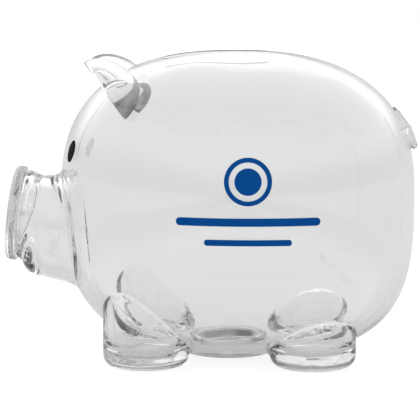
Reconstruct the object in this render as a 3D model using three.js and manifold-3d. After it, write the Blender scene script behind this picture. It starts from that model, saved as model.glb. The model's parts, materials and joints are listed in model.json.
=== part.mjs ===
// A clear moulded savings pig. Two bonded half shells meet at a lapped seam and carry two
// hooded ears, a snout plate and a curled tail; a push-in stopper closes the coin outlet
// in the belly, and the eyes and a coin emblem are printed on the outside.
// Millimetres, +Z up, floor at Z = 0. The pig faces -X, so its left side is -Y.
import * as THREE from 'three';
import { mergeVertices } from 'three/addons/utils/BufferGeometryUtils.js';
import Module from 'manifold-3d';

const wasm = await Module();
wasm.setup();

// ---------------------------------------------------------------- driving dimensions
// Body: an egg-like rounded box, measured from its widest level.
const BODY_LENGTH = 119.4;
const BODY_WIDTH = 99;
const BODY_RISE = 49.8; // widest level up to the back
const BODY_DROP = 52.7; // widest level down to the belly
const BELLY_CLEARANCE = 1.5; // floor to belly
const HEAD_NARROWING = 0.14; // share of the width lost at the head end
const WALL = 3;

// Squareness of the side view in its four quarters, and of the cross section.
const BACK_SQUARE = 2.47;
const CROWN_SQUARE = 2.6;
const RUMP_SQUARE = 3.2;
const THROAT_SQUARE = 2.66;
const SECTION_SQUARE = 2.2;

// Fits.
const GAP = 0.3; // bond line, and clearance between seated pieces
const LAP_DEPTH = 1.5; // wall left outside the seam's lip
const LAP_REACH = 1.2; // lip past the seam
const PEG_RADIUS = 2.2; // the ears' locating pegs
const TAIL_PEG_RADIUS = 1.5;

// Muzzle with the chin below it, and the snout plate on its collar.
const CHIN_REACH = 13; // body's front end to the chin's front
const MUZZLE_HEIGHT = 45.1; // floor to the muzzle's axis
const MUZZLE_RADIUS = 16.9; // half height at the chin
const MUZZLE_SPREAD = 0.12; // growth of that for each mm towards the root
const MUZZLE_SIDE = 0.86; // half width over half height
const MUZZLE_CORNER = 4;
const SNOUT_REACH = 17.1; // body's front end to the middle of the snout's face
const SNOUT_HEIGHT = 49;
const SNOUT_TILT = 6.6; // degrees, face turned up
const SNOUT_RADIUS = 16;
const SNOUT_THICK = 3.6;
const SNOUT_ROUND = 1.6;
const SNOUT_COLLAR_RADIUS = 13.2;
const SNOUT_BORE = 11.7;
const SNOUT_SPIGOT = 1.4;
const NOSTRIL_SPACING = 9;
const NOSTRIL_WIDTH = 4;
const NOSTRIL_TALL = 6;
const NOSTRIL_DEPTH = 1;

// Legs: hollow round stumps with thick soles.
const LEG_RADIUS = 14.35;
const LEG_FOOT_ROUND = 4;
const LEG_SOLE = 4.5;
const LEG_POCKET_ROUND = 5;
const FRONT_LEG_SETBACK = 29.7; // body's front end to the leg's axis
const REAR_LEG_SETBACK = 34.3; // body's rear end to the leg's axis
const LEG_INSET = 30.5; // widest side of the body to the leg's axis

// Ears: hoods with a raked opening.
const EAR_SETBACK = 19.7; // body's front end to the ear's centre
const EAR_LIFT = -0.35; // head's surface up to the ear's centre
const EAR_SPREAD = 21.5; // middle plane to the ear's centre
const EAR_RAKE = 54.4; // degrees, slope of the opening
const EAR_SPLAY = 30; // degrees, turned outwards in the plane of the opening
const EAR_TIP = 17; // centre to tip
const EAR_BASE = 12.7; // centre to base
const EAR_HALF_WIDTH = 9.6;
const EAR_DEPTH = 9.5;
const EAR_HOOK = 1.9; // tip bent forward of the opening's plane
const EAR_LIP = 1.2; // bulge of the rim in front of the opening
const EAR_WALL = 2.6;
const EAR_ROOT = 8; // solid stretch at the base

// Tail: one flat curl held off the rump.
const TAIL_RISE = 21.5; // widest level up to the curl's middle
const TAIL_RADIUS = 1.4;
const TAIL_CURL = 5.2; // radius of the curl at its start
const TAIL_LEAD = 4.5; // extra radius at the root, gone after the lead-in
const TAIL_LEAD_SHARE = 0.25; // share of the tail that is lead-in
const TAIL_TIGHTEN = 1.8; // loss of that radius at the tip
const TAIL_TURN = 325; // degrees
const TAIL_STANDOFF = 1.2; // rump to the middle of the curled tube

// Coin slot in the back, on the seam.
const SLOT_LENGTH = 36;
const SLOT_WIDTH = 5;
const SLOT_SETBACK = 52.7; // body's front end to the slot's middle

// Belly outlet: boss, collar and stopper.
const OUTLET_SETBACK = 56.6; // body's front end to the outlet's axis
const OUTLET_BORE = 10.5;
const COLLAR_RADIUS = 13;
const COLLAR_HEIGHT = 5.6; // belly face to the collar's top
const BOSS_RADIUS = 14;
const STOPPER_FLANGE_RADIUS = 12;
const STOPPER_FLANGE_THICK = 1.2;
const STOPPER_RECESS = 0.2; // flange's underside above the boss's face
const STOPPER_WALL = 1.4;
const STOPPER_SLOT_WIDTH = 6; // pry notch in the flange

// Printing: films of ink that follow the outside.
const INK_STANDOFF = 0.05;
const INK_THICK = 0.2;
const EYE_SPREAD = 16.5;
const EYE_RISE = 17;
const EYE_WIDTH = 5;
const EYE_TALL = 7.3;
const EMBLEM_SETBACK = 63.9; // body's front end to the emblem's middle
const EMBLEM_RISE = 10.3; // widest level up to the emblem's middle
const COIN_RADIUS = 7.6;
const COIN_RING_WIDTH = 1.5;
const COIN_DISC_RADIUS = 4.3;
const LONG_BAR_LENGTH = 46;
const LONG_BAR_TALL = 2.6;
const LONG_BAR_DROP = 12.8; // emblem's middle down to the bar's middle
const SHORT_BAR_LENGTH = 28;
const SHORT_BAR_TALL = 2;
const SHORT_BAR_DROP = 19.4;

// Facets.
const ROUND_FACETS = 24;
const BODY_FACETS_AROUND = 32;
const BODY_FACETS_ACROSS = 16;
const SMALL_FACETS = 12;
const EAR_FACETS_AROUND = 18;
const EAR_FACETS_ACROSS = 12;
const REACH = 400; // larger than anything that is cut

// ---------------------------------------------------------------- derived places
const BODY_FRONT = -BODY_LENGTH / 2;
const BODY_REAR = BODY_LENGTH / 2;
const WIDEST_LEVEL = BELLY_CLEARANCE + BODY_DROP;
const BODY_CENTRE = new THREE.Vector3(0, 0, WIDEST_LEVEL);
const SHARED_BODY_INSIDE = 24; // how far muzzle and legs run on inside the body

const LEGS = [
  { x: BODY_FRONT + FRONT_LEG_SETBACK, side: -1 },
  { x: BODY_FRONT + FRONT_LEG_SETBACK, side: 1 },
  { x: BODY_REAR - REAR_LEG_SETBACK, side: -1 },
  { x: BODY_REAR - REAR_LEG_SETBACK, side: 1 },
];

// ---------------------------------------------------------------- solids and meshes
function solid(geometry) {
  const bare = geometry.clone();
  bare.deleteAttribute('normal');
  bare.deleteAttribute('uv');
  const merged = mergeVertices(bare, 1e-4);
  return new wasm.Manifold(new wasm.Mesh({
    numProp: 3,
    vertProperties: new Float32Array(merged.attributes.position.array),
    triVerts: new Uint32Array(merged.index.array),
  }));
}

function namedMesh(name, shape, material) {
  const cut = shape.getMesh();
  const geometry = new THREE.BufferGeometry();
  geometry.setAttribute('position', new THREE.BufferAttribute(new Float32Array(cut.vertProperties), 3));
  geometry.setIndex(new THREE.BufferAttribute(new Uint32Array(cut.triVerts), 1));
  geometry.computeVertexNormals();
  const mesh = new THREE.Mesh(geometry, material);
  mesh.name = name;
  return mesh;
}

function union(shapes) {
  return shapes.reduce((whole, shape) => whole.add(shape));
}

// A box of cutting material between two values of Y.
function slab(fromY, toY) {
  const box = new THREE.BoxGeometry(REACH, toY - fromY, REACH);
  box.translate(0, (fromY + toY) / 2, 0);
  return solid(box);
}

// A round solid from an outline of [radius, height] points, standing along +Z.
function turned(outline, facets = ROUND_FACETS) {
  const points = outline.map(([radius, height]) => new THREE.Vector2(radius, height));
  const geometry = new THREE.LatheGeometry(points, facets);
  geometry.rotateX(Math.PI / 2);
  return geometry;
}

function rod(radius, from, to, facets = SMALL_FACETS) {
  const length = from.distanceTo(to);
  const geometry = new THREE.CylinderGeometry(radius, radius, length, facets);
  const turn = new THREE.Quaternion().setFromUnitVectors(
    new THREE.Vector3(0, 1, 0),
    to.clone().sub(from).normalize(),
  );
  geometry.applyQuaternion(turn);
  geometry.translate((from.x + to.x) / 2, (from.y + to.y) / 2, (from.z + to.z) / 2);
  return solid(geometry);
}

// Points of a quarter round of the given radius, turning from one angle to another.
function quarterRound(centreRadius, centreHeight, radius, fromDegrees, toDegrees, steps = 3) {
  const points = [];
  for (let i = 0; i <= steps; i += 1) {
    const angle = THREE.MathUtils.degToRad(fromDegrees + ((toDegrees - fromDegrees) * i) / steps);
    points.push([centreRadius + radius * Math.cos(angle), centreHeight + radius * Math.sin(angle)]);
  }
  return points;
}

// ---------------------------------------------------------------- body form
// Squareness in a direction, eased from quarter to quarter of the side view.
function squareness(direction) {
  const rear = THREE.MathUtils.smoothstep(direction.x, -1, 1);
  const up = THREE.MathUtils.smoothstep(direction.z, -1, 1);
  const above = THREE.MathUtils.lerp(CROWN_SQUARE, BACK_SQUARE, rear);
  const below = THREE.MathUtils.lerp(THROAT_SQUARE, RUMP_SQUARE, rear);
  return THREE.MathUtils.lerp(below, above, up);
}

function headWidth(x) {
  const forward = THREE.MathUtils.smoothstep(x / BODY_FRONT, -0.1, 1);
  return 1 - HEAD_NARROWING * forward;
}

function halfSizes(up, inset) {
  return new THREE.Vector3(
    BODY_LENGTH / 2 - inset,
    BODY_WIDTH / 2 - inset,
    (up ? BODY_RISE : BODY_DROP) - inset,
  );
}

// One on the body's surface, less inside: how far out a point lies.
function outness(point, inset) {
  const q = point.clone().sub(BODY_CENTRE);
  q.y /= headWidth(q.x);
  q.divide(halfSizes(q.z > 0, inset));
  const n = squareness(q.clone().normalize());
  const side = (Math.abs(q.x) ** n + Math.abs(q.z) ** n) ** (SECTION_SQUARE / n);
  return (side + Math.abs(q.y) ** SECTION_SQUARE) ** (1 / SECTION_SQUARE);
}

function bodyForm(inset) {
  const geometry = new THREE.SphereGeometry(1, BODY_FACETS_AROUND, BODY_FACETS_ACROSS);
  const place = geometry.attributes.position;
  for (let i = 0; i < place.count; i += 1) {
    const direction = new THREE.Vector3().fromBufferAttribute(place, i);
    const n = squareness(direction);
    const side = (Math.abs(direction.x) ** n + Math.abs(direction.z) ** n) ** (SECTION_SQUARE / n);
    const scale = (side + Math.abs(direction.y) ** SECTION_SQUARE) ** (1 / SECTION_SQUARE);
    const point = direction.clone().multiply(halfSizes(direction.z > 0, inset)).divideScalar(scale);
    point.y *= headWidth(point.x);
    place.setXYZ(i, point.x, point.y, point.z + WIDEST_LEVEL);
  }
  return solid(geometry);
}

// The point where a ray from inside the body meets its surface.
function surfaceFrom(origin, direction, inset = 0) {
  let near = 0;
  let far = REACH / 2;
  for (let i = 0; i < 40; i += 1) {
    const middle = (near + far) / 2;
    const point = origin.clone().addScaledVector(direction, middle);
    if (outness(point, inset) < 1) near = middle;
    else far = middle;
  }
  return origin.clone().addScaledVector(direction, near);
}

function outward(point) {
  const step = 0.05;
  const slope = (axis) => outness(point.clone().addScaledVector(axis, step), 0)
    - outness(point.clone().addScaledVector(axis, -step), 0);
  return new THREE.Vector3(
    slope(new THREE.Vector3(1, 0, 0)),
    slope(new THREE.Vector3(0, 1, 0)),
    slope(new THREE.Vector3(0, 0, 1)),
  ).normalize();
}

// ---------------------------------------------------------------- legs, muzzle and snout
function legForm(leg, inset) {
  const radius = LEG_RADIUS - inset;
  const bottom = inset > 0 ? LEG_SOLE * inset / WALL : 0;
  const round = inset > 0 ? LEG_POCKET_ROUND : LEG_FOOT_ROUND;
  const geometry = turned([
    [0, bottom],
    ...quarterRound(radius - round, bottom + round, round, -90, 0),
    [radius, BELLY_CLEARANCE + SHARED_BODY_INSIDE + LEG_RADIUS],
    [0, BELLY_CLEARANCE + SHARED_BODY_INSIDE + LEG_RADIUS],
  ]);
  geometry.translate(leg.x, leg.side * (BODY_WIDTH / 2 - LEG_INSET), 0);
  return solid(geometry);
}

// The muzzle's half height grows towards the root and its axis falls by as much, so that the
// bridge of the nose stays level.
function muzzleForm(inset) {
  const radius = MUZZLE_RADIUS - inset;
  const root = CHIN_REACH + SHARED_BODY_INSIDE - inset;
  const rootRadius = radius + MUZZLE_SPREAD * root;
  const geometry = turned([
    [0, root],
    [rootRadius, root],
    ...quarterRound(radius - MUZZLE_CORNER, MUZZLE_CORNER, MUZZLE_CORNER, 0, -90),
    [0, 0],
  ].reverse());
  geometry.scale(1, MUZZLE_SIDE, 1);
  geometry.rotateY(Math.PI / 2);
  geometry.applyMatrix4(new THREE.Matrix4().makeShear(0, -MUZZLE_SPREAD, 0, 0, 0, 0));
  geometry.translate(BODY_FRONT - CHIN_REACH + inset, 0, MUZZLE_HEIGHT);
  return solid(geometry);
}

// Puts a geometry made along +Z, face at Z = 0, onto the snout's tilted axis.
function onSnout(geometry) {
  geometry.rotateY(Math.PI / 2 + THREE.MathUtils.degToRad(SNOUT_TILT));
  geometry.translate(BODY_FRONT - SNOUT_REACH, 0, SNOUT_HEIGHT);
  return solid(geometry);
}

function snoutCollarForm(inset) {
  const face = SNOUT_THICK + GAP + inset;
  const end = SNOUT_REACH + MUZZLE_CORNER;
  const flareEnd = SNOUT_THICK + GAP + 6.5;
  return onSnout(turned([
    [0, face],
    [SNOUT_RADIUS - 0.6 - inset, face],
    [SNOUT_RADIUS - 0.9 - inset, face + 1],
    [SNOUT_COLLAR_RADIUS + 0.5 - inset, flareEnd - 2],
    [SNOUT_COLLAR_RADIUS - inset, flareEnd],
    [SNOUT_COLLAR_RADIUS - inset, end],
    [0, end],
  ]));
}

function snoutBore() {
  return onSnout(turned([
    [0, SNOUT_THICK],
    [SNOUT_BORE, SNOUT_THICK],
    [SNOUT_BORE, SNOUT_REACH + MUZZLE_CORNER],
    [0, SNOUT_REACH + MUZZLE_CORNER],
  ]));
}

// Room for the snout plate, cut into the chin behind it.
function snoutSeat() {
  return onSnout(turned([
    [0, -SNOUT_THICK],
    [SNOUT_RADIUS + GAP, -SNOUT_THICK],
    [SNOUT_RADIUS + GAP, SNOUT_THICK + GAP],
    [0, SNOUT_THICK + GAP],
  ]));
}

function snoutPlate() {
  const spigot = SNOUT_BORE - GAP;
  const edge = SNOUT_RADIUS - SNOUT_ROUND;
  let plate = onSnout(turned([
    [0, 0],
    ...quarterRound(edge, SNOUT_ROUND, SNOUT_ROUND, -90, 0),
    [SNOUT_RADIUS, SNOUT_THICK - 0.6],
    [SNOUT_RADIUS - 0.6, SNOUT_THICK],
    [spigot, SNOUT_THICK],
    [spigot, SNOUT_THICK + SNOUT_SPIGOT],
    [spigot - WALL / 2, SNOUT_THICK + SNOUT_SPIGOT],
    [spigot - WALL / 2, SNOUT_THICK],
    [0, SNOUT_THICK],
  ]));
  for (const side of [-1, 1]) {
    const nostril = new THREE.CylinderGeometry(0.5, 0.5, NOSTRIL_DEPTH * 2, SMALL_FACETS);
    nostril.rotateX(Math.PI / 2);
    nostril.scale(NOSTRIL_TALL, NOSTRIL_WIDTH, 1);
    nostril.translate(0, side * NOSTRIL_SPACING / 2, 0);
    plate = plate.subtract(onSnout(nostril));
  }
  return plate;
}

// ---------------------------------------------------------------- ears
function earFrame(side) {
  const rake = THREE.MathUtils.degToRad(EAR_RAKE);
  const splay = THREE.MathUtils.degToRad(EAR_SPLAY);
  const downSlope = new THREE.Vector3(Math.cos(rake), 0, -Math.sin(rake));
  const back = new THREE.Vector3(Math.sin(rake), 0, Math.cos(rake));
  const along = downSlope.multiplyScalar(Math.cos(splay)).add(new THREE.Vector3(0, side * Math.sin(splay), 0));
  const across = back.clone().cross(along);
  const above = new THREE.Vector3(BODY_FRONT + EAR_SETBACK, side * EAR_SPREAD, WIDEST_LEVEL);
  const seat = surfaceFrom(above, new THREE.Vector3(0, 0, 1));
  seat.z += EAR_LIFT;
  return { along, across, back, seat };
}

// An egg on the ear's axes: long towards the tip, deep behind the opening.
function earEgg(frame, tip, base, halfWidth, depth, lip) {
  const geometry = new THREE.SphereGeometry(1, EAR_FACETS_AROUND, EAR_FACETS_ACROSS);
  const place = geometry.attributes.position;
  for (let i = 0; i < place.count; i += 1) {
    const x = place.getX(i);
    const y = place.getY(i);
    const z = place.getZ(i);
    const hook = x > 0 ? 0 : EAR_HOOK * (x * tip / EAR_TIP) ** 2;
    const point = frame.seat.clone()
      .addScaledVector(frame.along, x * (x > 0 ? base : tip))
      .addScaledVector(frame.across, y * halfWidth)
      .addScaledVector(frame.back, z * (z > 0 ? depth : lip) - hook);
    place.setXYZ(i, point.x, point.y, point.z);
  }
  return solid(geometry);
}

// The peg under an ear or, with more radius and depth, the socket for it.
function earPeg(frame, radius, depth, height) {
  const over = frame.seat.clone().addScaledVector(frame.back, EAR_DEPTH * 0.45)
    .addScaledVector(frame.along, EAR_BASE * 0.3);
  over.z = WIDEST_LEVEL;
  const foot = surfaceFrom(over, new THREE.Vector3(0, 0, 1));
  const out = outward(foot);
  return rod(radius, foot.clone().addScaledVector(out, -depth), foot.clone().addScaledVector(out, height));
}

function ear(side, outsideOfBody) {
  const frame = earFrame(side);
  const hood = earEgg(frame, EAR_TIP, EAR_BASE, EAR_HALF_WIDTH, EAR_DEPTH, EAR_LIP);
  const dish = earEgg(
    frame,
    EAR_TIP - EAR_WALL,
    EAR_BASE - EAR_ROOT,
    EAR_HALF_WIDTH - EAR_WALL,
    EAR_DEPTH - EAR_WALL,
    EAR_LIP * 3,
  );
  return hood.subtract(dish).subtract(outsideOfBody).add(earPeg(frame, PEG_RADIUS, WALL, EAR_WALL));
}

// ---------------------------------------------------------------- tail
function tailFrame() {
  const centre = surfaceFrom(
    new THREE.Vector3(0, 0, WIDEST_LEVEL + TAIL_RISE),
    new THREE.Vector3(1, 0, 0),
  );
  const out = outward(centre);
  const up = new THREE.Vector3(-out.z, 0, out.x);
  return { centre, out, up };
}

// The rump's surface beside the curl's middle: up or down by one distance, sideways by another.
function onRump(frame, upwards, sideways) {
  const inside = frame.centre.clone()
    .addScaledVector(frame.up, upwards)
    .addScaledVector(new THREE.Vector3(0, 1, 0), sideways)
    .addScaledVector(frame.out, -WALL * 3);
  return surfaceFrom(inside, frame.out);
}

function tail(outsideOfBody) {
  const frame = tailFrame();
  const points = [];
  const steps = 14;
  for (let i = 0; i <= steps; i += 1) {
    const share = i / steps;
    const angle = THREE.MathUtils.degToRad(TAIL_TURN * share);
    const lead = Math.max(1 - share / TAIL_LEAD_SHARE, 0) ** 2;
    const radius = TAIL_CURL + TAIL_LEAD * lead - TAIL_TIGHTEN * share;
    const height = TAIL_STANDOFF * THREE.MathUtils.smoothstep(share, -0.08, 0.3);
    points.push(onRump(frame, radius * Math.cos(angle), radius * Math.sin(angle))
      .addScaledVector(frame.out, height));
  }
  const circle = new THREE.Shape();
  circle.absarc(0, 0, TAIL_RADIUS, 0, Math.PI * 2);
  const tube = new THREE.ExtrudeGeometry(circle, {
    steps: 30,
    curveSegments: 4,
    bevelEnabled: false,
    extrudePath: new THREE.CatmullRomCurve3(points),
  });
  return solid(tube).subtract(outsideOfBody).add(tailPeg(TAIL_PEG_RADIUS, WALL, TAIL_RADIUS * 0.6));
}

function tailPeg(radius, depth, height) {
  const frame = tailFrame();
  const out = frame.out;
  const root = onRump(frame, TAIL_CURL + TAIL_LEAD - TAIL_RADIUS, 0);
  return rod(radius, root.clone().addScaledVector(out, -depth), root.clone().addScaledVector(out, height));
}

// ---------------------------------------------------------------- coin slot and outlet
function stadium(length, tall) {
  const radius = tall / 2;
  const half = length / 2 - radius;
  const shape = new THREE.Shape();
  shape.absarc(half, 0, radius, -Math.PI / 2, Math.PI / 2);
  shape.absarc(-half, 0, radius, Math.PI / 2, Math.PI * 1.5);
  shape.closePath();
  return shape;
}

function coinSlot() {
  const cutter = new THREE.ExtrudeGeometry(stadium(SLOT_LENGTH, SLOT_WIDTH), {
    depth: BODY_RISE,
    bevelEnabled: false,
    curveSegments: 4,
  });
  cutter.translate(BODY_FRONT + SLOT_SETBACK, 0, WIDEST_LEVEL + BODY_RISE / 2);
  return solid(cutter);
}

// A cylinder on the outlet's axis, between two heights above the boss's face.
function onOutlet(radius, from, to) {
  const geometry = turned([[0, from], [radius, from], [radius, to], [0, to]]);
  geometry.translate(BODY_FRONT + OUTLET_SETBACK, 0, BELLY_CLEARANCE);
  return solid(geometry);
}

const STOPPER_SEAT = STOPPER_RECESS + STOPPER_FLANGE_THICK + GAP;

function outletCollar(grow = 0) {
  const boss = onOutlet(BOSS_RADIUS + grow, -grow, WALL);
  return boss.add(onOutlet(COLLAR_RADIUS + grow, WALL / 2, COLLAR_HEIGHT + grow));
}

function outletBore() {
  return onOutlet(OUTLET_BORE, -WALL, COLLAR_HEIGHT * 2)
    .add(onOutlet(STOPPER_FLANGE_RADIUS + GAP, -WALL, STOPPER_SEAT));
}

function stopper() {
  const skirt = OUTLET_BORE - GAP;
  const flangeTop = STOPPER_RECESS + STOPPER_FLANGE_THICK;
  const profile = turned([
    [0, STOPPER_RECESS],
    [STOPPER_FLANGE_RADIUS - 0.4, STOPPER_RECESS],
    [STOPPER_FLANGE_RADIUS, STOPPER_RECESS + 0.4],
    [STOPPER_FLANGE_RADIUS, flangeTop],
    [skirt, flangeTop],
    [skirt, COLLAR_HEIGHT - GAP - 0.8],
    [skirt - 0.6, COLLAR_HEIGHT - GAP],
    [skirt - STOPPER_WALL, COLLAR_HEIGHT - GAP],
    [skirt - STOPPER_WALL, flangeTop + 0.2],
    [0, flangeTop + 0.2],
  ]);
  profile.translate(BODY_FRONT + OUTLET_SETBACK, 0, BELLY_CLEARANCE);
  const notch = new THREE.BoxGeometry(STOPPER_SLOT_WIDTH, STOPPER_WALL * 2, STOPPER_FLANGE_THICK);
  notch.translate(BODY_FRONT + OUTLET_SETBACK, STOPPER_FLANGE_RADIUS, BELLY_CLEARANCE + STOPPER_RECESS);
  return solid(profile).subtract(solid(notch));
}

// ---------------------------------------------------------------- shells
// Everything moulded in one with the body, as a filled form or, inset, as its hollow.
function mouldedForm(inset) {
  return union([
    bodyForm(inset),
    muzzleForm(inset),
    ...LEGS.map((leg) => legForm(leg, inset)),
  ]);
}

function shells() {
  const outside = mouldedForm(0).add(snoutCollarForm(0));
  const hollow = mouldedForm(WALL).add(snoutBore());
  const lipOutside = mouldedForm(LAP_DEPTH + GAP / 2).add(snoutCollarForm(LAP_DEPTH + GAP / 2));
  const relief = mouldedForm(LAP_DEPTH - GAP / 2).add(snoutCollarForm(LAP_DEPTH - GAP / 2));
  const wall = outside.subtract(hollow);
  const collar = outletCollar();
  const cuts = union([
    coinSlot(),
    outletBore(),
    snoutSeat(),
    earPeg(earFrame(-1), PEG_RADIUS + GAP, WALL * 2, WALL),
    earPeg(earFrame(1), PEG_RADIUS + GAP, WALL * 2, WALL),
    tailPeg(TAIL_PEG_RADIUS + GAP, WALL * 2, WALL),
  ]);

  const leftSide = slab(-REACH, -GAP / 2);
  const rightSide = slab(GAP / 2, REACH);
  const lip = lipOutside.subtract(hollow).intersect(slab(-GAP, LAP_REACH)).subtract(outletCollar(GAP));
  const left = wall.intersect(leftSide).add(lip).add(collar.intersect(leftSide)).subtract(cuts);
  const right = wall.intersect(rightSide)
    .subtract(relief.intersect(slab(-GAP, LAP_REACH + GAP)))
    .add(collar.intersect(rightSide))
    .subtract(cuts);
  return { left, right };
}

// ---------------------------------------------------------------- printing
function inkSkin() {
  return bodyForm(-INK_STANDOFF - INK_THICK).subtract(bodyForm(-INK_STANDOFF));
}

function eye(side, skin) {
  const prism = new THREE.CylinderGeometry(0.5, 0.5, BODY_LENGTH, SMALL_FACETS * 2);
  prism.rotateZ(Math.PI / 2);
  prism.scale(1, EYE_WIDTH, EYE_TALL);
  prism.translate(BODY_FRONT, side * EYE_SPREAD, WIDEST_LEVEL + EYE_RISE);
  return skin.intersect(solid(prism));
}

// Prints a flat shape, drawn in X and Z about the emblem's middle, on the left flank.
function printed(shape, skin) {
  const prism = new THREE.ExtrudeGeometry(shape, {
    depth: BODY_WIDTH,
    bevelEnabled: false,
    curveSegments: SMALL_FACETS,
  });
  prism.rotateX(Math.PI / 2);
  prism.translate(BODY_FRONT + EMBLEM_SETBACK, 0, WIDEST_LEVEL + EMBLEM_RISE);
  return skin.intersect(solid(prism));
}

function disc(radius) {
  const shape = new THREE.Shape();
  shape.absarc(0, 0, radius, 0, Math.PI * 2);
  return shape;
}

function ring(radius, width) {
  const shape = disc(radius);
  const hole = new THREE.Path();
  hole.absarc(0, 0, radius - width, 0, Math.PI * 2, true);
  shape.holes.push(hole);
  return shape;
}

function lowered(shape, drop) {
  return new THREE.Shape(shape.getPoints(SMALL_FACETS).map((p) => new THREE.Vector2(p.x, p.y - drop)));
}

// ---------------------------------------------------------------- materials
const clearPlastic = new THREE.MeshStandardMaterial({
  color: 0xeef1f2,
  roughness: 0.06,
  metalness: 0,
  transparent: true,
  opacity: 0.3,
});
const stopperPlastic = new THREE.MeshStandardMaterial({
  color: 0xe6e8e6,
  roughness: 0.4,
  metalness: 0,
  transparent: true,
  opacity: 0.7,
});
const blackInk = new THREE.MeshStandardMaterial({ color: 0x060606, roughness: 0.35, metalness: 0 });
const blueInk = new THREE.MeshStandardMaterial({ color: 0x17469b, roughness: 0.4, metalness: 0 });

// ---------------------------------------------------------------- assembly
const pig = new THREE.Group();
const clearOfBody = bodyForm(-GAP);
const skin = inkSkin();
const { left, right } = shells();

pig.add(namedMesh('left_shell', left, clearPlastic));
pig.add(namedMesh('right_shell', right, clearPlastic));
pig.add(namedMesh('snout_plate', snoutPlate(), clearPlastic));
pig.add(namedMesh('left_ear', ear(-1, clearOfBody), clearPlastic));
pig.add(namedMesh('right_ear', ear(1, clearOfBody), clearPlastic));
pig.add(namedMesh('tail', tail(clearOfBody), clearPlastic));
pig.add(namedMesh('stopper', stopper(), stopperPlastic));
pig.add(namedMesh('left_eye', eye(-1, skin), blackInk));
pig.add(namedMesh('right_eye', eye(1, skin), blackInk));
pig.add(namedMesh('print_coin_ring', printed(ring(COIN_RADIUS, COIN_RING_WIDTH), skin), blueInk));
pig.add(namedMesh('print_coin_disc', printed(disc(COIN_DISC_RADIUS), skin), blueInk));
pig.add(namedMesh(
  'print_bar_long',
  printed(lowered(stadium(LONG_BAR_LENGTH, LONG_BAR_TALL), LONG_BAR_DROP), skin),
  blueInk,
));
pig.add(namedMesh(
  'print_bar_short',
  printed(lowered(stadium(SHORT_BAR_LENGTH, SHORT_BAR_TALL), SHORT_BAR_DROP), skin),
  blueInk,
));

// The origin is on the floor under the seam, midway from the snout's front to the tail's end.
const extent = new THREE.Box3().setFromObject(pig);
pig.position.x = -(extent.min.x + extent.max.x) / 2;

export default pig;
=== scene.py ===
import json
import math

import bpy
import numpy as np
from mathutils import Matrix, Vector


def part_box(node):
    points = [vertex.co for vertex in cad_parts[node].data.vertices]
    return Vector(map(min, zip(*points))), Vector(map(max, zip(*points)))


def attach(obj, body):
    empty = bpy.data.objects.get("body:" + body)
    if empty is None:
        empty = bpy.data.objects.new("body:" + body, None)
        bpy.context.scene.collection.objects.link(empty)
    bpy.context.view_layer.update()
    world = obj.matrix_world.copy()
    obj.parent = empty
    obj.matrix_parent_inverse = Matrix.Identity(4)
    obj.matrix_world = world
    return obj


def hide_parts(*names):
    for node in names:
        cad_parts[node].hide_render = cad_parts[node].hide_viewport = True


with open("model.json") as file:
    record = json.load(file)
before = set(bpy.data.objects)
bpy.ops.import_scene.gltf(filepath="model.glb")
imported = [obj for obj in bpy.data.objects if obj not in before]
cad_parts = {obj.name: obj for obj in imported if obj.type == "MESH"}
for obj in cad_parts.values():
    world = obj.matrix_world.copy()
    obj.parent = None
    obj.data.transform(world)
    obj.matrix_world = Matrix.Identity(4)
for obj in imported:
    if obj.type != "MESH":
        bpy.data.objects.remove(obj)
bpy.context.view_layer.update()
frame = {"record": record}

MM = 0.001

# ---------------------------------------------------------------- places taken from the frame
_, SHELL_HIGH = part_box("left_shell")
STOPPER_LOW, STOPPER_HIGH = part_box("stopper")
RING_LOW, RING_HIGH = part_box("print_coin_ring")
DISC_LOW, DISC_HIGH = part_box("print_coin_disc")
OPENINGS = {o["name"]: o["box_m"] for o in frame["record"]["physics"]["openings"]}
FEET = {m["name"]: Vector(m["pos_m"]) for m in frame["record"]["mounts"]}

# ---------------------------------------------------------------- the moulding's sizes
WALL = 3 * MM
BODY_LENGTH = 119.4 * MM
BODY_WIDTH = 99 * MM
BODY_RISE = 49.8 * MM
BODY_DROP = 52.7 * MM
BELLY_CLEARANCE = 1.5 * MM
HEAD_NARROWING = 0.14
BACK_SQUARE = 2.47
CROWN_SQUARE = 2.6
RUMP_SQUARE = 3.2
THROAT_SQUARE = 2.66
SECTION_SQUARE = 2.2

BODY_REAR = SHELL_HIGH[0]
BODY_FRONT = BODY_REAR - BODY_LENGTH
WIDEST_LEVEL = BELLY_CLEARANCE + BODY_DROP
BODY_CENTRE = Vector(((BODY_FRONT + BODY_REAR) / 2, 0, WIDEST_LEVEL))

CHIN_REACH = 13 * MM
MUZZLE_HEIGHT = 45.1 * MM
MUZZLE_RADIUS = 16.9 * MM
MUZZLE_SPREAD = 0.12
MUZZLE_SIDE = 0.86
MUZZLE_CORNER = 4 * MM
MUZZLE_ROOT = 24 * MM
SNOUT_REACH = 17.1 * MM
SNOUT_HEIGHT = 49 * MM
SNOUT_TILT = math.radians(6.6)
SNOUT_RADIUS = 16 * MM
SNOUT_THICK = 3.6 * MM
SNOUT_COLLAR_RADIUS = 13.2 * MM
SNOUT_BORE = 11.7 * MM
SNOUT_SPIGOT = 1.4 * MM
NOSTRIL_SPACING = 9 * MM
NOSTRIL_HALF_SIZES = (3 * MM, 2 * MM, 1 * MM)
PLATE_ROUND = 1.5 * MM
SPIGOT_WALL = 1.5 * MM

LEG_RADIUS = 14.35 * MM
LEG_FOOT_ROUND = 4 * MM
LEG_SOLE = 4.5 * MM
LEG_POCKET_ROUND = 5 * MM
LEG_TOP = 34 * MM

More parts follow.
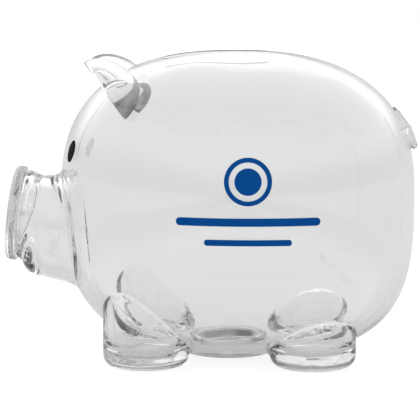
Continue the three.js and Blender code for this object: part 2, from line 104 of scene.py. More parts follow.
EAR_SETBACK = 19.7 * MM
EAR_LIFT = -0.35 * MM
EAR_SPREAD = 21.5 * MM
EAR_RAKE = math.radians(54.4)
EAR_SPLAY = math.radians(30)
EAR_TIP = 17 * MM
EAR_BASE = 12.7 * MM
EAR_HALF_WIDTH = 9.6 * MM
EAR_DEPTH = 9.5 * MM
EAR_HOOK = 1.9 * MM
EAR_LIP = 1.2 * MM
EAR_WALL = 2.6 * MM
EAR_ROOT = 8 * MM

TAIL_RISE = 21.5 * MM
TAIL_RADIUS = 1.4 * MM
TAIL_CURL = 5.2 * MM
TAIL_LEAD = 4.5 * MM
TAIL_LEAD_SHARE = 0.25
TAIL_TIGHTEN = 1.8 * MM
TAIL_TURN = math.radians(325)
TAIL_STANDOFF = 1.2 * MM

COLLAR_RADIUS = 13 * MM
COLLAR_HEIGHT = 5.6 * MM
OUTLET_BORE = 10.5 * MM
BOSS_RADIUS = 14 * MM
FLANGE_RADIUS = 12 * MM
SEAT_HEIGHT = 1.7 * MM
STOPPER_WALL = 1.4 * MM
STOPPER_RECESS = 0.2 * MM
FLANGE_THICK = 1.2 * MM
NOTCH_SIZES = (6 * MM, 2.8 * MM, 1.2 * MM)

SLOT_LENGTH = 36 * MM
SLOT_WIDTH = 5 * MM
SLOT_DEPTH = 24 * MM
RING_BAND = 1.5 * MM

FIT = 0.3 * MM
BOND = 0.03 * MM
SHELL_VOXEL = 0.74 * MM
SKIN_PASSES = 10
HOLLOW_PASSES = 50
STYRENE_DENSITY = 30
# five times the body's absorption: painted shade that darkens the tail's thin curl
TAIL_SHADE_DENSITY = 150


# ---------------------------------------------------------------- workshop helpers
def only(piece):
    """Selects one piece and makes it active, with everything else deselected."""
    bpy.ops.object.select_all(action="DESELECT")
    piece.select_set(True)
    bpy.context.view_layer.objects.active = piece


def apply(piece, kind, **settings):
    """Adds one modifier and applies it."""
    only(piece)
    bpy.ops.object.modifier_add(type=kind)
    modifier = piece.modifiers[-1]
    for key, value in settings.items():
        setattr(modifier, key, value)
    bpy.ops.object.modifier_apply(modifier=modifier.name)
    return piece


def combine(piece, tool, operation):
    """Joins or cuts a piece with a tool, which is used up."""
    apply(piece, "BOOLEAN", object=tool, operation=operation, solver="MANIFOLD")
    bpy.data.objects.remove(tool)
    return piece


def copy_of(piece, name):
    twin = piece.copy()
    twin.data = piece.data.copy()
    twin.name = name
    bpy.context.collection.objects.link(twin)
    return twin


def settle(piece):
    """Moves a piece's place into its mesh."""
    only(piece)
    bpy.ops.object.transform_apply(location=True, rotation=True, scale=True)
    return piece


def face_out(piece):
    only(piece)
    bpy.ops.object.mode_set(mode="EDIT")
    bpy.ops.mesh.select_all(action="SELECT")
    bpy.ops.mesh.remove_doubles(threshold=1e-6)
    bpy.ops.mesh.normals_make_consistent(inside=False)
    bpy.ops.object.mode_set(mode="OBJECT")
    return piece


def ball(name, segments, rings):
    bpy.ops.object.select_all(action="DESELECT")
    bpy.ops.mesh.primitive_uv_sphere_add(segments=segments, ring_count=rings, radius=1)
    return named(name)


def block(name, size, location):
    bpy.ops.object.select_all(action="DESELECT")
    bpy.ops.mesh.primitive_cube_add(size=size, location=location)
    return named(name)


def points_of(piece):
    """The vertices as an array, to be shaped and given back."""
    place = np.empty(len(piece.data.vertices) * 3)
    piece.data.vertices.foreach_get("co", place)
    return place.reshape(-1, 3)


def set_points(piece, points):
    piece.data.vertices.foreach_set("co", np.asarray(points, float).ravel())
    piece.data.update()
    return piece


def named(name):
    piece = bpy.context.object
    piece.name = name
    piece.data.name = name
    return piece


def turned(name, outline, steps=96):
    """Spins an outline of (radius, height) points round Z into a closed round solid."""
    bpy.ops.object.select_all(action="DESELECT")
    mesh = bpy.data.meshes.new(name)
    mesh.from_pydata(
        [(radius, 0, height) for radius, height in outline],
        [(i, i + 1) for i in range(len(outline) - 1)],
        [],
    )
    piece = bpy.data.objects.new(name, mesh)
    bpy.context.collection.objects.link(piece)
    apply(piece, "SCREW", angle=math.tau, steps=steps, render_steps=steps,
          use_merge_vertices=True, merge_threshold=1e-6)
    return face_out(piece)


def quarter_round(centre_radius, centre_height, radius, start, end, steps=8):
    """Points of an arc in an outline, from one angle to another in degrees."""
    angles = [math.radians(start + (end - start) * i / steps) for i in range(steps + 1)]
    return [(centre_radius + radius * math.cos(a), centre_height + radius * math.sin(a)) for a in angles]


def remoulded(piece, voxel, passes):
    """Fuses overlapping solids into one skin and eases its inside corners, as a mould does."""
    apply(piece, "REMESH", mode="VOXEL", voxel_size=voxel)
    if passes:
        apply(piece, "SMOOTH", factor=0.5, iterations=passes)
    return piece


def gathered(name, pieces):
    bpy.ops.object.select_all(action="DESELECT")
    for piece in pieces:
        piece.select_set(True)
    bpy.context.view_layer.objects.active = pieces[0]
    bpy.ops.object.join()
    return named(name)


# ---------------------------------------------------------------- body form
def ease(value, low=0.0, high=1.0):
    t = np.clip((np.asarray(value, float) - low) / (high - low), 0, 1)
    return t * t * (3 - 2 * t)


def squareness(direction):
    """How square the side view is in a direction, eased from quarter to quarter."""
    rear = ease(direction[:, 0], -1, 1)
    up = ease(direction[:, 2], -1, 1)
    above = CROWN_SQUARE + (BACK_SQUARE - CROWN_SQUARE) * rear
    below = THROAT_SQUARE + (RUMP_SQUARE - THROAT_SQUARE) * rear
    return below + (above - below) * up


def head_width(x):
    return 1 - HEAD_NARROWING * ease(-x / (BODY_LENGTH / 2), -0.1, 1)


def half_sizes(z, inset):
    tall = np.where(z > 0, BODY_RISE, BODY_DROP)
    return np.stack([
        np.full_like(z, BODY_LENGTH / 2) - inset,
        np.full_like(z, BODY_WIDTH / 2) - inset,
        tall - inset,
    ], axis=1)


def reach_of(direction):
    n = squareness(direction / np.linalg.norm(direction, axis=1, keepdims=True))
    side = (np.abs(direction[:, 0]) ** n + np.abs(direction[:, 2]) ** n) ** (SECTION_SQUARE / n)
    return (side + np.abs(direction[:, 1]) ** SECTION_SQUARE) ** (1 / SECTION_SQUARE)


def body_points(direction, inset):
    """Points of the body's surface, from unit directions."""
    points = direction * half_sizes(direction[:, 2], inset) / reach_of(direction)[:, None]
    points[:, 1] *= head_width(points[:, 0])
    return points + np.array(BODY_CENTRE)


def outness(points, inset):
    """One on the body's surface, less inside."""
    q = np.asarray(points, float) - np.array(BODY_CENTRE)
    q[:, 1] /= head_width(q[:, 0])
    return reach_of(q / half_sizes(q[:, 2], inset))


def surface_from(origin, direction, inset=0.0):
    """The point where a ray from inside the body meets its surface."""
    near, far = 0.0, 0.2
    for _ in range(40):
        middle = (near + far) / 2
        if outness(np.array([origin + direction * middle]), inset)[0] < 1:
            near = middle
        else:
            far = middle
    return origin + direction * near


def outward(point):
    step = 0.05 * MM
    slope = []
    for axis in (Vector((1, 0, 0)), Vector((0, 1, 0)), Vector((0, 0, 1))):
        pair = np.array([point + axis * step, point - axis * step])
        high, low = outness(pair, 0.0)
        slope.append(high - low)
    return Vector(slope).normalized()


def body_form(name, inset):
    piece = ball(name, 144, 96)
    round_points = points_of(piece)
    direction = np.stack([round_points[:, 0], -round_points[:, 2], round_points[:, 1]], axis=1)
    return set_points(piece, body_points(direction, inset))


# ---------------------------------------------------------------- legs and muzzle
def leg_form(name, foot, inset):
    radius = LEG_RADIUS - inset
    bottom = LEG_SOLE if inset else 0.0
    round_ = LEG_POCKET_ROUND if inset else LEG_FOOT_ROUND
    piece = turned(name, [
        (0, bottom),
        *quarter_round(radius - round_, bottom + round_, round_, -90, 0),
        (radius, LEG_TOP),
        (0, LEG_TOP),
    ])
    piece.location = foot
    return settle(piece)


def muzzle_form(name, inset):
    """The muzzle widens towards its root and falls by as much, so the bridge of the nose stays level."""
    radius = MUZZLE_RADIUS - inset
    root = CHIN_REACH + MUZZLE_ROOT - inset
    root_radius = radius + MUZZLE_SPREAD * root
    piece = turned(name, [
        (0, 0),
        *quarter_round(radius - MUZZLE_CORNER, MUZZLE_CORNER, MUZZLE_CORNER, -90, 0),
        (root_radius, root),
        (0, root),
    ])
    piece.scale = (1, MUZZLE_SIDE, 1)
    piece.rotation_euler = (0, math.pi / 2, 0)
    settle(piece)
    points = points_of(piece)
    points[:, 2] -= MUZZLE_SPREAD * points[:, 0]
    set_points(piece, points)
    piece.location = (BODY_FRONT - CHIN_REACH + inset, 0, MUZZLE_HEIGHT)
    return settle(piece)


def on_snout(piece):
    """Puts a solid made along +Z, face at Z = 0, onto the snout's tilted axis."""
    piece.rotation_euler = (0, math.pi / 2 + SNOUT_TILT, 0)
    piece.location = (BODY_FRONT - SNOUT_REACH, 0, SNOUT_HEIGHT)
    return settle(piece)


def snout_collar_form(name):
    face = SNOUT_THICK + BOND
    flare_end = SNOUT_THICK + 6.8 * MM
    end = SNOUT_REACH + MUZZLE_CORNER
    return on_snout(turned(name, [
        (0, face),
        (SNOUT_RADIUS - 0.9 * MM, face),
        (SNOUT_RADIUS - 0.8 * MM, face + 0.8 * MM),
        (SNOUT_COLLAR_RADIUS + 1.1 * MM, flare_end - 3 * MM),
        (SNOUT_COLLAR_RADIUS + 0.3 * MM, flare_end - 1.2 * MM),
        (SNOUT_COLLAR_RADIUS, flare_end),
        (SNOUT_COLLAR_RADIUS, end),
        (0, end),
    ]))


def snout_bore_form(name):
    """The bore behind the snout plate; its front end stands clear of the collar."""
    return on_snout(turned(name, [
        (0, 0),
        (SNOUT_BORE, 0),
        (SNOUT_BORE, SNOUT_REACH + MUZZLE_CORNER),
        (0, SNOUT_REACH + MUZZLE_CORNER),
    ]))


def snout_seat_tool():
    """Room for the snout plate in front of the chin."""
    return on_snout(turned("snout_seat_tool", [
        (0, -SNOUT_THICK),
        (SNOUT_RADIUS + BOND, -SNOUT_THICK),
        (SNOUT_RADIUS + BOND, SNOUT_THICK + BOND),
        (0, SNOUT_THICK + BOND),
    ]))


def moulded(name, inset, voxel, passes):
    """Body, legs and muzzle fused into one skin; inset gives the hollow inside it."""
    parts = [body_form(name + "_body", inset), muzzle_form(name + "_muzzle", inset)]
    parts += [leg_form(name + "_" + foot, place, inset) for foot, place in FEET.items()]
    if inset:
        parts.append(snout_bore_form(name + "_bore"))
    else:
        parts.append(snout_collar_form(name + "_collar"))
    piece = remoulded(gathered(name, parts), voxel, passes)
    ease_muzzle_root(piece)
    return true_up(piece, inset)


def ease_muzzle_root(piece):
    """A wide fillet where the muzzle runs into the head."""
    root = np.array((BODY_FRONT + 5 * MM, 0, MUZZLE_HEIGHT - 1 * MM))
    full_along, none_along = 4 * MM, 9 * MM
    full_across, none_across = 23 * MM, 28 * MM
    away = points_of(piece) - root
    along = 1 - ease(np.abs(away[:, 0]), full_along, none_along)
    across = 1 - ease(np.hypot(away[:, 1], away[:, 2]), full_across, none_across)
    weight = along * across
    group = piece.vertex_groups.new(name="muzzle_root")
    for index in np.nonzero(weight > 0.01)[0]:
        group.add([int(index)], float(weight[index]), "REPLACE")
    apply(piece, "SMOOTH", factor=0.5, iterations=90, vertex_group=group.name)
    piece.vertex_groups.clear()


def true_up(piece, inset):
    """Draws the skin back onto the exact body form wherever it is close to it."""
    points = points_of(piece)
    out = outness(points, inset)
    from_centre = points - np.array(BODY_CENTRE)
    error = np.abs(out - 1) * np.linalg.norm(from_centre, axis=1)
    hold = 1 - ease(error, 0.25 * MM, 0.7 * MM)
    q = from_centre / (1 + (out - 1) * hold)[:, None]
    return set_points(piece, q + np.array(BODY_CENTRE))


# ---------------------------------------------------------------- shells
def slot_tool():
    """The coin slot: a block with its upright edges rounded."""
    low, high = (Vector(corner) for corner in OPENINGS["coin_slot"])
    piece = block("slot_tool", 1, ((low.x + high.x) / 2, 0, WIDEST_LEVEL + BODY_RISE))
    piece.scale = (SLOT_LENGTH, SLOT_WIDTH, SLOT_DEPTH)
    settle(piece)
    bpy.ops.object.mode_set(mode="EDIT")
    bpy.ops.mesh.select_all(action="DESELECT")
    bpy.ops.object.mode_set(mode="OBJECT")
    for edge in piece.data.edges:
        ends = [piece.data.vertices[i].co for i in edge.vertices]
        edge.select = abs(ends[0].z - ends[1].z) > 10 * MM
    bpy.ops.object.mode_set(mode="EDIT")
    bpy.ops.mesh.bevel(offset=SLOT_WIDTH / 2 * 0.98, segments=10)
    bpy.ops.object.mode_set(mode="OBJECT")
    return piece


def outlet_axis():
    return Vector(((STOPPER_LOW[0] + STOPPER_HIGH[0]) / 2, 0, BELLY_CLEARANCE))


def outlet_boss():
    piece = turned("outlet_boss", [
        (0, 0),
        *quarter_round(BOSS_RADIUS - 0.5 * MM, 0.5 * MM, 0.5 * MM, -90, 0, 4),
        (BOSS_RADIUS, WALL),
        (COLLAR_RADIUS, WALL),
        *quarter_round(COLLAR_RADIUS - 0.6 * MM, COLLAR_HEIGHT - 0.6 * MM, 0.6 * MM, 0, 90, 4),
        (0, COLLAR_HEIGHT),
    ], 128)
    piece.location = outlet_axis()
    return settle(piece)


def outlet_tool():
    piece = turned("outlet_tool", [
        (0, -5 * MM),
        (FLANGE_RADIUS + FIT, -5 * MM),
        (FLANGE_RADIUS + FIT, SEAT_HEIGHT),
        (OUTLET_BORE, SEAT_HEIGHT),
        (OUTLET_BORE, 2 * COLLAR_HEIGHT),
        (0, 2 * COLLAR_HEIGHT),
    ], 128)
    piece.location = outlet_axis()
    return settle(piece)


def half_space(name, side):
    """A block of material on one side of the seam."""
    size = 0.4
    return settle(block(name, size, (0, side * (size / 2 + BOND / 2), 0)))


def make_shells():
    """The half shells. Solvent welding leaves no line round the ears' and tail's pegs, so none is cut."""
    shell = moulded("shell", 0.0, SHELL_VOXEL, SKIN_PASSES)
    hollow = moulded("hollow", WALL, SHELL_VOXEL, HOLLOW_PASSES)
    ripple = points_of(hollow)
    wave = (np.sin(ripple[:, 0] * 210 + 1.7 * np.sin(ripple[:, 2] * 95)) * np.sin(ripple[:, 2] * 160 + 0.6)
            + 0.6 * np.sin(ripple[:, 1] * 250 + ripple[:, 0] * 120))
    from_centre = ripple - np.array(BODY_CENTRE)
    away = from_centre / np.linalg.norm(from_centre, axis=1, keepdims=True)
    set_points(hollow, ripple + away * (wave * 0.06 * MM)[:, None])
    combine(shell, hollow, "DIFFERENCE")
    combine(shell, snout_seat_tool(), "DIFFERENCE")
    combine(shell, outlet_boss(), "UNION")
    combine(shell, outlet_tool(), "DIFFERENCE")
    combine(shell, slot_tool(), "DIFFERENCE")
    halves = []
    for name, side in (("left_shell", -1), ("right_shell", 1)):
        half = copy_of(shell, "clear_" + name)
        combine(half, half_space("block", side), "INTERSECT")
        halves.append((half, name))
    bpy.data.objects.remove(shell)
    return halves


# ---------------------------------------------------------------- ears
def ear_frame(side):
    down_slope = Vector((math.cos(EAR_RAKE), 0, -math.sin(EAR_RAKE)))
    back = Vector((math.sin(EAR_RAKE), 0, math.cos(EAR_RAKE)))
    along = down_slope * math.cos(EAR_SPLAY) + Vector((0, side * math.sin(EAR_SPLAY), 0))
    across = back.cross(along)
    above = Vector((BODY_FRONT + EAR_SETBACK, side * EAR_SPREAD, WIDEST_LEVEL))
    seat = surface_from(above, Vector((0, 0, 1))) + Vector((0, 0, EAR_LIFT))
    return along, across, back, seat


def ear_egg(name, axes, tip, base, half_width, depth, lip):
    """A ball drawn out towards the tip and deep behind the ear's opening."""
    along, across, back, seat = axes
    piece = ball(name, 96, 64)
    lengthways, sideways, depthways = points_of(piece).T
    reach = lengthways * np.where(lengthways > 0, base, tip)
    hook = EAR_HOOK * (np.minimum(reach, 0) / EAR_TIP) ** 2
    deep = depthways * np.where(depthways > 0, depth, lip) - hook
    points = (np.array(seat) + np.outer(reach, along) + np.outer(sideways * half_width, across)
              + np.outer(deep, back))
    return face_out(set_points(piece, points))


def make_ear(name, side):
    axes = ear_frame(side)
    hood = ear_egg("clear_" + name, axes, EAR_TIP, EAR_BASE, EAR_HALF_WIDTH, EAR_DEPTH, EAR_LIP)
    dish = ear_egg("dish_tool", axes, EAR_TIP - EAR_WALL, EAR_BASE - EAR_ROOT,
                   EAR_HALF_WIDTH - EAR_WALL, EAR_DEPTH - EAR_WALL, EAR_LIP * 3)
    combine(hood, dish, "DIFFERENCE")
    remoulded(hood, 0.35 * MM, 4)
    combine(hood, body_form("head_tool", -BOND), "DIFFERENCE")
    return hood


def lay_ear_root_shade(ear, haze):
    """Gives the underside, which lies on the head, the painted shade material."""
    ear.data.materials.append(haze)
    centres = np.array([face.center for face in ear.data.polygons])
    for index in np.nonzero(np.abs(outness(centres, -BOND) - 1) < 0.0005)[0]:
        ear.data.polygons[int(index)].material_index = 1


# ---------------------------------------------------------------- tail
def tail_frame():
    centre = surface_from(Vector((0, 0, WIDEST_LEVEL + TAIL_RISE)), Vector((1, 0, 0)))
    out = outward(centre)
    up = Vector((-out.z, 0, out.x))
    return centre, out, up


def make_tail(name):
    centre, out, up = tail_frame()
    side = Vector((0, 1, 0))
    steps = 60
    curve = bpy.data.curves.new(name, "CURVE")
    curve.dimensions = "3D"
    curve.bevel_depth = TAIL_RADIUS
    curve.bevel_resolution = 8
    curve.use_fill_caps = True
    line = curve.splines.new("POLY")
    line.points.add(steps)
    for i in range(steps + 1):
        share = i / steps
        angle = TAIL_TURN * share
        lead = max(1 - share / TAIL_LEAD_SHARE, 0) ** 2
        radius = TAIL_CURL + TAIL_LEAD * lead - TAIL_TIGHTEN * share
        inside = centre + up * radius * math.cos(angle) + side * radius * math.sin(angle) - out * WALL * 3
        height = TAIL_STANDOFF * float(ease(share, -0.08, 0.3)) - 0.4 * MM * lead
        point = surface_from(inside, out) + out * height
        line.points[i].co = (*point, 1)
        line.points[i].radius = 1.05 - 0.3 * share - 0.35 * lead
    piece = bpy.data.objects.new("clear_" + name, curve)
    bpy.context.collection.objects.link(piece)
    only(piece)
    bpy.ops.object.convert(target="MESH")
    face_out(piece)
    remoulded(piece, 0.22 * MM, 8)
    combine(piece, body_form("rump_tool", -BOND), "DIFFERENCE")
    return piece


# ---------------------------------------------------------------- snout plate
def make_snout_plate(name):
    spigot = SNOUT_BORE - FIT / 2
    round_ = PLATE_ROUND
    plate = on_snout(turned("clear_" + name, [
        (0, 0.25 * MM),
        (SNOUT_RADIUS * 0.55, 0.15 * MM),
        *quarter_round(SNOUT_RADIUS - round_, round_, round_, -90, 0),
        *quarter_round(SNOUT_RADIUS - 0.6 * MM, SNOUT_THICK - 0.6 * MM, 0.6 * MM, 0, 90, 4),
        (spigot, SNOUT_THICK),
        (spigot, SNOUT_THICK + SNOUT_SPIGOT),
        (spigot - SPIGOT_WALL, SNOUT_THICK + SNOUT_SPIGOT),
        (spigot - SPIGOT_WALL, SNOUT_THICK),
        (0, SNOUT_THICK),
    ], 128))
    for side in (-1, 1):
        nostril = ball("nostril_tool", 48, 32)
        nostril.scale = NOSTRIL_HALF_SIZES
        settle(nostril)
        nostril.location = (0, side * NOSTRIL_SPACING / 2, 0)
        settle(nostril)
        combine(plate, on_snout(nostril), "DIFFERENCE")
    return plate


# ---------------------------------------------------------------- stopper
def make_stopper(name):
    skirt = OUTLET_BORE - FIT / 2
    inner = skirt - STOPPER_WALL
    low = STOPPER_RECESS
    top = COLLAR_HEIGHT - FIT
    flange = FLANGE_THICK + low
    piece = turned("milky_" + name, [
        (0, low + 0.25 * MM),
        (FLANGE_RADIUS * 0.6, low + 0.25 * MM),
        (FLANGE_RADIUS * 0.66, low),
        *quarter_round(FLANGE_RADIUS - 0.4 * MM, low + 0.4 * MM, 0.4 * MM, -90, 0, 4),
        *quarter_round(FLANGE_RADIUS - 0.3 * MM, flange - 0.3 * MM, 0.3 * MM, 0, 90, 4),
        (skirt, flange),
        (skirt, top - 0.9 * MM),
        *quarter_round(inner + 0.5 * MM, top - 0.5 * MM, 0.5 * MM, 60, 180, 6),
        (inner, flange + 0.7 * MM),
        *quarter_round(inner - 0.6 * MM, flange + 0.8 * MM, 0.6 * MM, 0, -90, 4),
        (0, flange + 0.2 * MM),
    ], 128)
    piece.location = outlet_axis()
    settle(piece)
    notch = block("notch_tool", 1, outlet_axis() + Vector((0, FLANGE_RADIUS, low)))
    notch.scale = NOTCH_SIZES
    settle(notch)
    apply(notch, "BEVEL", width=0.3 * MM, segments=3)
    return combine(piece, notch, "DIFFERENCE")


# ---------------------------------------------------------------- printing
INK_LIFT = 0.04 * MM
INK_THICK = 0.06 * MM


def on_flank(name, flat_points, faces, side_axis):
    """Lays a flat film on the body: its points run along one axis until they meet the surface."""
    mesh = bpy.data.meshes.new(name)
    mesh.from_pydata(flat_points, [], faces)
    piece = bpy.data.objects.new(name, mesh)
    bpy.context.collection.objects.link(piece)
    points = points_of(piece)
    ray = np.array(side_axis, float)
    near = np.zeros(len(points))
    far = np.full(len(points), 0.12)
    for _ in range(36):
        middle = (near + far) / 2
        inside = outness(points + ray * middle[:, None], -INK_LIFT) < 1
        near = np.where(inside, middle, near)
        far = np.where(inside, far, middle)
    set_points(piece, points + ray * near[:, None])
    face_out(piece)
    return piece


def film(name, rows, columns, place, side_axis):
    """A film from a grid: place(u, v) gives a point for u and v from 0 to 1."""
    points = [tuple(place(i / columns, j / rows)) for j in range(rows + 1) for i in range(columns + 1)]
    across = columns + 1
    corners = [j * across + i for j in range(rows) for i in range(columns)]
    faces = [(first, first + 1, first + across + 1, first + across) for first in corners]
    piece = on_flank(name, points, faces, side_axis)
    outside = Vector(side_axis)
    if sum(face.normal.dot(outside) for face in piece.data.polygons) < 0:
        only(piece)
        bpy.ops.object.mode_set(mode="EDIT")
        bpy.ops.mesh.select_all(action="SELECT")
        bpy.ops.mesh.flip_normals()
        bpy.ops.object.mode_set(mode="OBJECT")
    apply(piece, "SOLIDIFY", thickness=INK_THICK, offset=1, use_even_offset=True)
    return piece


def make_print():
    """The coin emblem and its two bars, on the left flank."""
    left = (0, -1, 0)
    middle_x = (RING_LOW[0] + RING_HIGH[0]) / 2
    middle_z = (RING_LOW[2] + RING_HIGH[2]) / 2
    ring_radius = (RING_HIGH[2] - RING_LOW[2]) / 2
    disc_radius = (DISC_HIGH[2] - DISC_LOW[2]) / 2

    def annulus(inner, outer):
        def place(u, v):
            radius = inner + (outer - inner) * v
            return (middle_x + radius * math.cos(u * math.tau), 0, middle_z + radius * math.sin(u * math.tau))
        return place

    def bar(node):
        low, high = (Vector(corner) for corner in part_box(node))
        tall = high.z - low.z
        half = (high.x - low.x) / 2
        centre = (low + high) / 2

        def place(u, v):
            along = (2 * u - 1) * half
            over = max(abs(along) - (half - tall / 2), 0)
            rise = math.sqrt(max((tall / 2) ** 2 - over ** 2, 1e-12))
            return (centre.x + along, 0, centre.z + (2 * v - 1) * rise)
        return place

    ring = annulus(ring_radius - RING_BAND, ring_radius)
    return [
        (film("ink_coin_ring", 4, 128, ring, left), "print_coin_ring"),
        (film("ink_coin_disc", 14, 96, annulus(0.0, disc_radius), left), "print_coin_disc"),
        (film("ink_bar_long", 8, 160, bar("print_bar_long"), left), "print_bar_long"),
        (film("ink_bar_short", 8, 120, bar("print_bar_short"), left), "print_bar_short"),
    ]


def make_eye(node):
    low, high = (Vector(corner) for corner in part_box(node))
    centre = (low + high) / 2
    half_width = (high.y - low.y) / 2
    half_tall = (high.z - low.z) / 2

    def place(u, v):
        angle = u * math.tau
        across = centre.y + half_width * v * math.cos(angle)
        return (BODY_CENTRE.x, across, centre.z + half_tall * v * math.sin(angle))

    return film("ink_" + node, 14, 72, place, (-1, 0, 0))


def lay_base_coat(piece, coat):
    """White ink under the colour, on the faces that lie against the plastic; the coat given here glows,
    painted light that lightens the backs of the eyes.
    """
    piece.data.materials.append(coat)
    for face in piece.data.polygons:
        if face.normal.dot(face.center - BODY_CENTRE) < 0:
            face.material_index = 1


# ---------------------------------------------------------------- finishes
def new_material(name):
    material = bpy.data.materials.new(name)
    material.use_nodes = True
    tree = material.node_tree
    return material, tree, tree.nodes["Principled BSDF"]


def noise(tree, scale, detail, stretch=(1, 1, 1)):
    """Noise on Object coordinates, which lie in the piece's own place."""
    coordinates = tree.nodes.new("ShaderNodeTexCoord")
    mapping = tree.nodes.new("ShaderNodeMapping")
    mapping.inputs["Scale"].default_value = stretch
    texture = tree.nodes.new("ShaderNodeTexNoise")
    texture.inputs["Scale"].default_value = scale
    texture.inputs["Detail"].default_value = detail
    tree.links.new(coordinates.outputs["Object"], mapping.inputs["Vector"])
    tree.links.new(mapping.outputs["Vector"], texture.inputs["Vector"])
    return texture


def ranged(tree, source, low, high, start=0.0, end=1.0):
    """Maps a value between start and end onto a range."""
    node = tree.nodes.new("ShaderNodeMapRange")
    node.inputs["From Min"].default_value = start
    node.inputs["From Max"].default_value = end
    node.inputs["To Min"].default_value = low
    node.inputs["To Max"].default_value = high
    tree.links.new(source, node.inputs["Value"])
    return node.outputs["Result"]


def bumped(tree, shader, source, distance, strength):
    bump = tree.nodes.new("ShaderNodeBump")
    bump.inputs["Strength"].default_value = strength
    bump.inputs["Distance"].default_value = distance
    tree.links.new(source, bump.inputs["Height"])
    tree.links.new(bump.outputs["Normal"], shader.inputs["Normal"])


def clear_plastic(name, density):
    """Polished clear styrene: faint melt flow in the surface, a breath of haze, a slight grey in depth."""
    material, tree, shader = new_material(name)
    shader.inputs["Base Color"].default_value = (0.985, 0.99, 0.992, 1)
    shader.inputs["Transmission Weight"].default_value = 1
    shader.inputs["IOR"].default_value = 1.57
    haze = noise(tree, 45, 3)
    tree.links.new(ranged(tree, haze.outputs["Fac"], 0.0, 0.035), shader.inputs["Roughness"])
    flow = noise(tree, 60, 2, (0.6, 1, 1.6))
    bumped(tree, shader, flow.outputs["Fac"], 0.08 * MM, 0.25)
    depth = tree.nodes.new("ShaderNodeVolumeAbsorption")
    depth.inputs["Color"].default_value = (0.72, 0.72, 0.72, 1)
    depth.inputs["Density"].default_value = density
    tree.links.new(depth.outputs["Volume"], tree.nodes["Material Output"].inputs["Volume"])
    return material


def painted_ear_root_shade():
    """Painted shade on the underside of an ear, where it lies on the head: dark, hazed and streaked, standing
    in for the dark wedge at the ear root.
    """
    material, tree, shader = new_material("painted_ear_root_shade")
    shader.inputs["Transmission Weight"].default_value = 0.35
    shader.inputs["IOR"].default_value = 1.57
    streaks = noise(tree, 260, 2, (1, 0.25, 1))
    # near-black to mid-grey streaks: painted shade at the ear root
    tint = tree.nodes.new("ShaderNodeValToRGB")
    tint.color_ramp.elements[0].position = 0.4
    tint.color_ramp.elements[0].color = (0.05, 0.05, 0.052, 1)
    tint.color_ramp.elements[1].position = 0.6
    tint.color_ramp.elements[1].color = (0.5, 0.5, 0.5, 1)
    tree.links.new(streaks.outputs["Fac"], tint.inputs["Fac"])
    tree.links.new(tint.outputs["Color"], shader.inputs["Base Color"])
    tree.links.new(ranged(tree, streaks.outputs["Fac"], 0.3, 0.6), shader.inputs["Roughness"])
    return material


def milky_plastic():
    material, tree, shader = new_material("milky_polyethylene")
    shader.inputs["Transmission Weight"].default_value = 0.95
    shader.inputs["IOR"].default_value = 1.5
    tint = tree.nodes.new("ShaderNodeValToRGB")
    tint.color_ramp.elements[0].color = (0.94, 0.945, 0.94, 1)
    tint.color_ramp.elements[1].color = (0.975, 0.98, 0.975, 1)
    cloud = noise(tree, 300, 3)
    tree.links.new(cloud.outputs["Fac"], tint.inputs["Fac"])
    tree.links.new(tint.outputs["Color"], shader.inputs["Base Color"])
    tree.links.new(ranged(tree, cloud.outputs["Fac"], 0.1, 0.25), shader.inputs["Roughness"])
    bumped(tree, shader, noise(tree, 1500, 2).outputs["Fac"], 0.02 * MM, 0.4)
    return material


def ink(name, dark, light, shine, glow=0.0):
    """Pad-printed ink: nearly even, with faint mottling; a glow above zero is painted light, an emission that
    lightens the ink with no lamp behind it.
    """
    material, tree, shader = new_material(name)
    # emission: painted light when glow is above zero
    shader.inputs["Emission Color"].default_value = (1, 1, 1, 1)
    shader.inputs["Emission Strength"].default_value = glow
    shader.inputs["Specular IOR Level"].default_value = shine
    tint = tree.nodes.new("ShaderNodeValToRGB")
    tint.color_ramp.elements[0].color = (*dark, 1)
    tint.color_ramp.elements[1].color = (*light, 1)
    mottle = noise(tree, 700, 4)
    tree.links.new(mottle.outputs["Fac"], tint.inputs["Fac"])
    tree.links.new(tint.outputs["Color"], shader.inputs["Base Color"])
    tree.links.new(ranged(tree, mottle.outputs["Fac"], 0.3, 0.5), shader.inputs["Roughness"])
    bumped(tree, shader, noise(tree, 2500, 2).outputs["Fac"], 0.01 * MM, 0.5)
    return material


# ---------------------------------------------------------------- studio
def aim(thing, target):
    thing.rotation_euler = (Vector(target) - thing.location).to_track_quat("-Z", "Y").to_euler()


def make_camera():
    azimuth = math.radians(1.8)
    elevation = math.radians(6.7)
    distance = 0.72
    target = Vector((-0.5 * MM, 0.0, 49.9 * MM))
    data = bpy.data.cameras.new("camera")
    camera = bpy.data.objects.new("camera", data)
    bpy.context.collection.objects.link(camera)
    level = math.cos(elevation)
    camera.location = target + distance * Vector((
        math.sin(azimuth) * level, -math.cos(azimuth) * level, math.sin(elevation)))
    aim(camera, target)
    data.sensor_width = 36
    data.lens = 182
    data.clip_start = 0.01
    bpy.context.scene.camera = camera


def make_floor():
    """A white table that burns out under the lamps, and looks greyer through the plastic."""
    bpy.ops.object.select_all(action="DESELECT")
    bpy.ops.mesh.primitive_plane_add(size=8, location=(0, 0, 0))
    floor = named("floor")
    material, tree, shader = new_material("white_table")
    shader.inputs["Base Color"].default_value = (0.3, 0.3, 0.3, 1)
    shader.inputs["Roughness"].default_value = 0.9
    shader.inputs["Specular IOR Level"].default_value = 0
    shader.inputs["Emission Color"].default_value = (1, 1, 1, 1)
    seen = tree.nodes.new("ShaderNodeLightPath")
    glow = ranged(tree, seen.outputs["Is Camera Ray"], 0.44, 0.84)
    tree.links.new(glow, shader.inputs["Emission Strength"])
    floor.data.materials.append(material)


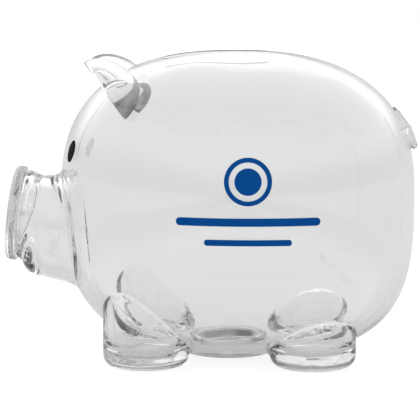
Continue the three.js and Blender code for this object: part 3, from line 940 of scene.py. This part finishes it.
def make_light():
    """A white room: even light round the table, dimmer in front, bright lamps overhead."""
    world = bpy.data.worlds.new("studio")
    bpy.context.scene.world = world
    world.use_nodes = True
    tree = world.node_tree
    background = tree.nodes["Background"]
    background.inputs["Color"].default_value = (1, 1, 1, 1)
    direction = tree.nodes.new("ShaderNodeTexCoord")
    split = tree.nodes.new("ShaderNodeSeparateXYZ")
    tree.links.new(direction.outputs["Generated"], split.inputs["Vector"])
    front = ranged(tree, split.outputs["Y"], 0.4, 0.77, -0.4, 0.65)
    over = ranged(tree, split.outputs["Z"], 0.0, 0.65, 0.12, 0.4)
    total = tree.nodes.new("ShaderNodeMath")
    total.operation = "ADD"
    tree.links.new(front, total.inputs[0])
    tree.links.new(over, total.inputs[1])
    seen = tree.nodes.new("ShaderNodeLightPath")
    strength = tree.nodes.new("ShaderNodeMath")
    strength.operation = "MAXIMUM"
    tree.links.new(total.outputs["Value"], strength.inputs[0])
    tree.links.new(seen.outputs["Is Camera Ray"], strength.inputs[1])
    tree.links.new(strength.outputs["Value"], background.inputs["Strength"])


# ---------------------------------------------------------------- the pig
def finish_piece(piece, node, body, material, angle=32):
    piece.data.materials.clear()
    piece.data.materials.append(material)
    only(piece)
    bpy.ops.object.shade_smooth_by_angle(angle=math.radians(angle))
    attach(piece, body)
    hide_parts(node)


make_camera()
make_floor()
make_light()
bpy.context.scene.view_settings.view_transform = "Standard"
bpy.context.scene.cycles.max_bounces = 128
bpy.context.scene.cycles.transmission_bounces = 128
bpy.context.scene.cycles.glossy_bounces = 128
bpy.context.scene.cycles.transparent_max_bounces = 16

STYRENE = clear_plastic("clear_styrene", STYRENE_DENSITY)
# a darker copy of the styrene for the tail: painted shade
SHADED_TAIL_STYRENE = clear_plastic("shaded_tail_styrene", TAIL_SHADE_DENSITY)
MILKY = milky_plastic()
BLACK = ink("black_ink", (0.003, 0.003, 0.003), (0.007, 0.007, 0.008), 0.02)
BLUE = ink("blue_ink", (0.001, 0.064, 0.27), (0.003, 0.08, 0.32), 0.03)
# the base coat glows at 0.3: painted light that lightens the backs of the eyes seen through the shell
GLOWING_BASE_COAT = ink("glowing_white_base_coat", (0.93, 0.93, 0.92), (0.97, 0.97, 0.96), 0.12, 0.3)
# painted shade for the ear undersides
EAR_ROOT_SHADE = painted_ear_root_shade()

for half, node in make_shells():
    finish_piece(half, node, "root", STYRENE)
finish_piece(make_snout_plate("snout_plate"), "snout_plate", "root", STYRENE)
for node, side in (("left_ear", -1), ("right_ear", 1)):
    ear = make_ear(node, side)
    finish_piece(ear, node, "root", STYRENE)
    # the ear's underside gets painted shade
    lay_ear_root_shade(ear, EAR_ROOT_SHADE)
finish_piece(make_tail("tail"), "tail", "root", SHADED_TAIL_STYRENE)
finish_piece(make_stopper("stopper"), "stopper", "stopper", MILKY)
for node in ("left_eye", "right_eye"):
    eye = make_eye(node)
    finish_piece(eye, node, "root", BLACK)
    lay_base_coat(eye, GLOWING_BASE_COAT)
for piece, node in make_print():
    finish_piece(piece, node, "root", BLUE)
